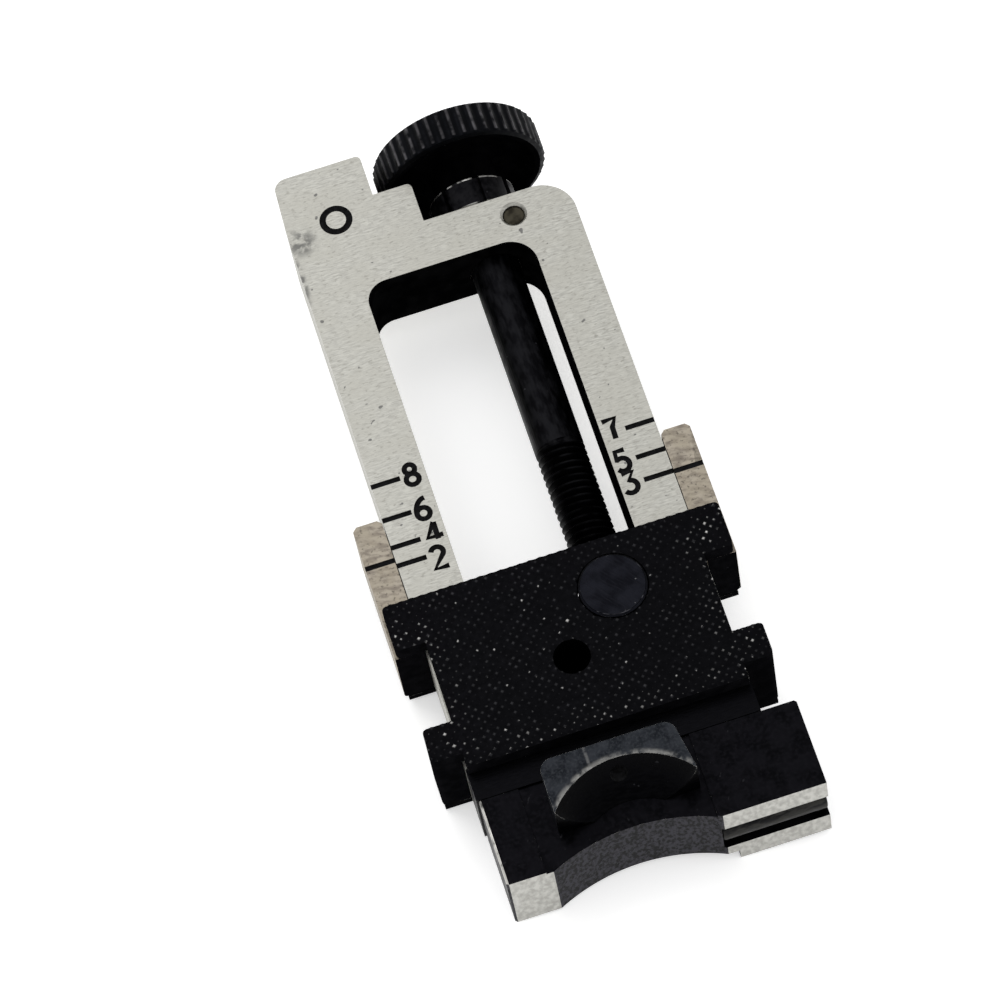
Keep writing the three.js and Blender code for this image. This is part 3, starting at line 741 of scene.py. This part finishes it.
def thread_row(row):
    """One row of the helical surface: it climbs one pitch over a full turn."""
    share = (row % THREAD["rows"]) / THREAD["rows"]
    groove = 1 - abs(2 * share - 1)

    def ring(angle):
        climb = THREAD["pitch"] * (row / THREAD["rows"] + angle / (2 * math.pi) - 1)
        y = min(max(SCREW["low"] + climb, SCREW["low"]), THREAD["top"])
        fade = min(1.0, (THREAD["top"] - y) / THREAD["fade"])
        radius = SCREW["radius"] - THREAD["depth"] * groove * fade
        return min(radius, 1.3 + y - SCREW["low"]), y

    return ring


def fixed_ring(radius, y):
    return lambda angle: (radius, y)


def pin_hole(reach):
    """The cross hole for the head's pin, this far to either side of the screw's axis."""
    x = SCREW["x"]
    return rod_along_x(HEAD_PIN["y"], SCREW["z"], HEAD_PIN["radius"], x - reach, x + reach)


def make_screw():
    turns = (THREAD["top"] - SCREW["low"]) / THREAD["pitch"]
    rows = math.ceil((turns + 1) * THREAD["rows"])
    rings = [SCREW["low"]] + [thread_row(row) for row in range(rows + 1)]
    radius = SCREW["radius"]
    edge = 0.06
    profile = [
        (radius, WAIST["low"] - edge), (radius - edge, WAIST["low"]), (WAIST["radius"], WAIST["low"]),
        (WAIST["radius"], WAIST["high"]), (radius - edge, WAIST["high"]), (radius, WAIST["high"] + edge),
        (radius, SCREW["high"] - edge), (radius - edge, SCREW["high"]),
    ]
    bm = tidy(turned(rings + [fixed_ring(*point) for point in profile] + [SCREW["high"]], 48), 0.0005)
    paint(bm, 1, lambda centre, normal: centre.y < THREAD["top"])
    bm = boolean(bm, [SHANK, THREADED], pin_hole(3), GREY)
    show("elevation_screw", bm, [SHANK, THREADED, GREY])


def knurled(radius, y):
    """A ring that the straight teeth cut into."""
    def ring(angle):
        wave = 0.5 - 0.5 * math.cos(angle * HEAD["teeth"])
        return min(radius, HEAD["radius"] - HEAD["groove"] * wave ** 0.7), y
    return ring


def notched(radius, y):
    """A ring of the click hub, cut by its notches."""
    def ring(angle):
        spacing = 2 * math.pi / CLICK["notches"]
        from_notch = (angle + spacing / 4 + spacing / 2) % spacing - spacing / 2
        inside = abs(math.sin(from_notch)) * CLICK["radius"] < CLICK["width"] / 2
        return min(radius, CLICK["radius"] - CLICK["depth"] if inside else radius), y
    return ring


def make_head():
    low, high, chamfer, radius = HEAD["low"], HEAD["high"], HEAD["chamfer"], HEAD["radius"]
    floor = low + DISH["depth"]
    bore = SCREW["radius"] + 0.07
    click, edge = CLICK["radius"], CLICK_EDGE
    highlight_band_low = CLICK["high"] - edge - HIGHLIGHT_BAND
    rings = [
        notched(bore, CLICK["low"]),
        notched(click - edge, CLICK["low"]), notched(click, CLICK["low"] + edge),
        notched(click, highlight_band_low), notched(click, CLICK["high"] - edge),
        notched(click - edge, CLICK["high"]),
        fixed_ring(NECK_RADIUS + 0.12, CLICK["high"]), fixed_ring(NECK_RADIUS, CLICK["high"] + 0.12),
        fixed_ring(NECK_RADIUS, floor - 0.3), fixed_ring(NECK_RADIUS + 0.3, floor),
        fixed_ring(DISH["floor"] - 0.3, floor), fixed_ring(DISH["floor"], floor - 0.25),
        fixed_ring(DISH["rim"] - 0.06, low + 0.06), fixed_ring(DISH["rim"] + 0.08, low),
        knurled(radius - chamfer * 1.6, low), knurled(radius - chamfer * 0.5, low + chamfer * 0.5),
        knurled(radius, low + chamfer), knurled(radius, high - chamfer),
        knurled(radius - chamfer * 0.5, high - chamfer * 0.5), knurled(radius - chamfer * 1.6, high),
        fixed_ring(END_RECESS["rim"], high), fixed_ring(END_RECESS["floor"], high - END_RECESS["depth"]),
        fixed_ring(END_DIMPLE["rim"], high - END_RECESS["depth"]),
        fixed_ring(END_DIMPLE["floor"], high - END_DIMPLE["depth"]), high - END_DIMPLE["point"],
    ]
    bottom = SCREW["high"] + 0.06
    inner = [bottom, fixed_ring(bore, bottom)]
    bm = tidy(turned(inner + rings, 384), 0.0005)
    axis = Vector((SCREW["x"], 0, SCREW["z"]))
    hub_top = CLICK["high"] + 0.02

    def outward(centre):
        return math.hypot(centre.x - axis.x, centre.z - axis.z)

    paint(bm, 1, lambda centre, normal: outward(centre) > KNURLED_FROM and centre.y > low)
    # the hub's chamfers and the band under its upper edge take head_edge, a painted highlight
    paint(bm, 2, lambda centre, normal: abs(outward(centre) - click) < 0.14 and centre.y < hub_top
          and 0.2 < abs(normal.y) < 0.95)
    paint(bm, 2, lambda centre, normal: outward(centre) > click - 0.1
          and highlight_band_low < centre.y < hub_top)
    paint(bm, 3, lambda centre, normal: outward(centre) > NECK_RADIUS + 0.1 and centre.y < hub_top)
    paint(bm, 3, lambda centre, normal: centre.y > high - 0.35 and outward(centre) < radius - chamfer)
    finishes = [HEAD_BLACK, KNURL, HEAD_EDGE, HUB]
    bm = boolean(bm, finishes, pin_hole(2.6), HEAD_BLACK)
    show("knurled_head", bm, finishes)


# ---- the slide --------------------------------------------------------------------------------

def checkering_block():
    """A block whose top is cut into diamonds, wide enough for the whole plate."""
    bm = bmesh.new()
    pitch, deep = CHECKERING["pitch"], -12.0
    middle_y, reach = 15.2, 15.5
    count = math.ceil(2 * reach / pitch)
    side = count * pitch / 2

    def place(u, v, z):
        return ((u - v) / math.sqrt(2), middle_y + (u + v) / math.sqrt(2), z)

    chance = random.Random(11)
    jitter, worn = CHECKERING["jitter"], CHECKERING["worn"]
    valley = [[bm.verts.new(place(i * pitch - side, j * pitch - side, CHECKERING["valley"]))
               for j in range(count + 1)] for i in range(count + 1)]
    for i in range(count):
        for j in range(count):
            middle = [(k + 0.5) * pitch - side + chance.uniform(-jitter, jitter) for k in (i, j)]
            tip = bm.verts.new(place(*middle, CHECKERING["tip"] - chance.uniform(0, worn)))
            corners = [valley[i][j], valley[i + 1][j], valley[i + 1][j + 1], valley[i][j + 1]]
            for first, second in zip(corners, corners[1:] + corners[:1]):
                bm.faces.new((first, second, tip))
    corners = ((-side, -side), (side, -side), (side, side), (-side, side))
    ends = [bm.verts.new(place(u, v, deep)) for u, v in corners]
    rim = [[row[0] for row in valley], valley[-1], [row[-1] for row in valley][::-1], valley[0][::-1]]
    for index, line in enumerate(rim):
        bm.faces.new(line[::-1] + [ends[index], ends[(index + 1) % 4]])
    bm.faces.new(ends[::-1])
    bmesh.ops.recalc_face_normals(bm, faces=bm.faces[:])
    return bm


def make_plate():
    def is_corner(edge):
        return is_along(edge, 2) and min(abs(vert.co.x) for vert in edge.verts) > PLATE_CORNERS

    bm = soften(cad_copy("slide_plate"), ROUNDED["plate"], segments=4, keep=is_corner)
    first_material(bm)
    bm = soften(bm, 0.07)
    finishes = [END_BLACK, CHECKERED_EDGE, HOLE_BLACK]
    x, y = PEEP["x"], PEEP["y"]
    # the peep hole's wall takes hole_black, painted shade
    paint(bm, 2, lambda centre, normal: abs(normal.z) < 0.3
          and math.hypot(centre.x - x, centre.y - y) < PEEP["radius"] + 0.15)
    bm = boolean(bm, finishes, checkering_block(), CHECKERED, operation="INTERSECT")
    show("slide_plate", bm, finishes + [CHECKERED])


def make_wing(side):
    node = "index_wing_left" if side < 0 else "index_wing_right"
    finishes = [PATINA, PATINA_EDGE, END_BLACK]

    def is_rear(edge):
        return is_along(edge, 1) and all(
            abs(vert.co.x) > PLATE_CORNERS and vert.co.z < -5 for vert in edge.verts)

    bm = soften(cad_copy(node), ROUNDED["wing"], segments=4, keep=is_rear)
    first_material(bm)
    bm = soften(bm, 0.1)
    paint(bm, 2, lambda centre, normal: normal.y < -0.7 or normal.z < -0.7)
    ends = [(side * WING_LINE[end], WING_LINE["y"]) for end in ("inner", "outer")]
    line = strokes_cutter([(ends, False)], GROOVE["radius"], GROOVE["lift"])
    bm = boolean(bm, finishes, line, INK)
    show(node, bm, finishes + [INK])


def make_slide():
    make_plate()
    for side in (-1, 1):
        make_wing(side)
    show("barrel_nut", soften(cad_copy("barrel_nut"), 0.05), [NUT, NUT_EDGE])
    show("rear_keeper", soften(cad_copy("rear_keeper"), ROUNDED["keeper"]), [END_BLACK, END_EDGE])
    for index in range(1, 5):
        node = f"keeper_screw_{index}"
        bm = cad_copy(node)
        centre = sum((v.co for v in bm.verts), Vector()) / len(bm.verts)
        rear = min(v.co.z for v in bm.verts)
        turn = Matrix.Translation(centre) @ Matrix.Rotation(math.radians(35 * index), 4, "Z")
        driver_slot = block((-1, -0.11, rear - 1 - centre.z), (1, 0.11, rear + 0.2 - centre.z))
        driver_slot.transform(turn)
        bm = boolean(soften(bm, 0.04), [GREY, GREY], driver_slot, INK)
        show(node, bm, [GREY, GREY, INK])


make_leaf()
make_pins()
make_foot()
make_lug()
make_screw()
make_head()
make_slide()
for node in ("detent_plunger", "detent_spring"):
    hidden = frame["nodes"][node]
    if not hidden.data.materials:
        hidden.data.materials.append(SPRING)
    for holder in hidden.material_slots:
        holder.material = SPRING


# ---- floor, light and camera ------------------------------------------------------------------

FLOOR_GLOW = 0.45  # keeps the floor seen through the window near white


def make_floor():
    bm = bmesh.new()
    bmesh.ops.create_grid(bm, x_segments=1, y_segments=1, size=3.0)
    finish = bpy.data.materials.new("pale_floor")
    finish.use_nodes = True
    shader = finish.node_tree.nodes["Principled BSDF"]
    shader.inputs["Base Color"].default_value = (0.9, 0.9, 0.9, 1)
    shader.inputs["Roughness"].default_value = 1.0
    shader.inputs["Specular IOR Level"].default_value = 0.0
    shader.inputs["Emission Color"].default_value = (1, 1, 1, 1)
    shader.inputs["Emission Strength"].default_value = FLOOR_GLOW
    to_object(bm, "floor", [finish])


def soft_panel(name, place, target, size, power):
    light = bpy.data.lights.new(name, "AREA")
    light.size = size
    light.energy = power
    panel = bpy.data.objects.new(name, light)
    panel.location = place
    panel.rotation_euler = (Vector(target) - Vector(place)).to_track_quat("-Z", "Y").to_euler()
    scene.collection.objects.link(panel)


def make_light():
    world = bpy.data.worlds.new("soft_white")
    world.use_nodes = True
    world.node_tree.nodes["Background"].inputs["Color"].default_value = (1, 1, 1, 1)
    world.node_tree.nodes["Background"].inputs["Strength"].default_value = 0.82
    scene.world = world
    soft_panel("key", (-0.25, 0.35, 0.6), (0, 0, 0), 0.45, 1.3)
    soft_panel("fill", (0.5, -0.3, 0.5), (0, 0, 0), 0.5, 0.5)


def make_camera():
    """The view from the foot's end, given in the leaf's own frame."""
    target = Vector((-1.884, 27.612, 0.0))
    azimuth, elevation, roll = (math.radians(a) for a in (6.177, 62.11, -12.195))
    distance = 377.0
    forward = Vector((math.sin(azimuth) * math.cos(elevation),
                      math.cos(azimuth) * math.cos(elevation), -math.sin(elevation)))
    level = forward.cross(Vector((0, 0, 1))).normalized()
    upright = level.cross(forward)
    right = math.cos(roll) * level + math.sin(roll) * upright
    up = right.cross(forward)
    turn = LEAF_TURN @ Matrix((right, up, -forward)).transposed()
    data = bpy.data.cameras.new("camera")
    data.lens = 198.05
    data.sensor_width = 36.0
    data.clip_start = 0.01
    camera = bpy.data.objects.new("camera", data)
    camera.matrix_world = Matrix.Translation(LEAF @ (target - forward * distance)) @ turn.to_4x4()
    scene.collection.objects.link(camera)
    scene.camera = camera


make_floor()
make_light()
make_camera()
scene.view_settings.view_transform = "Standard"
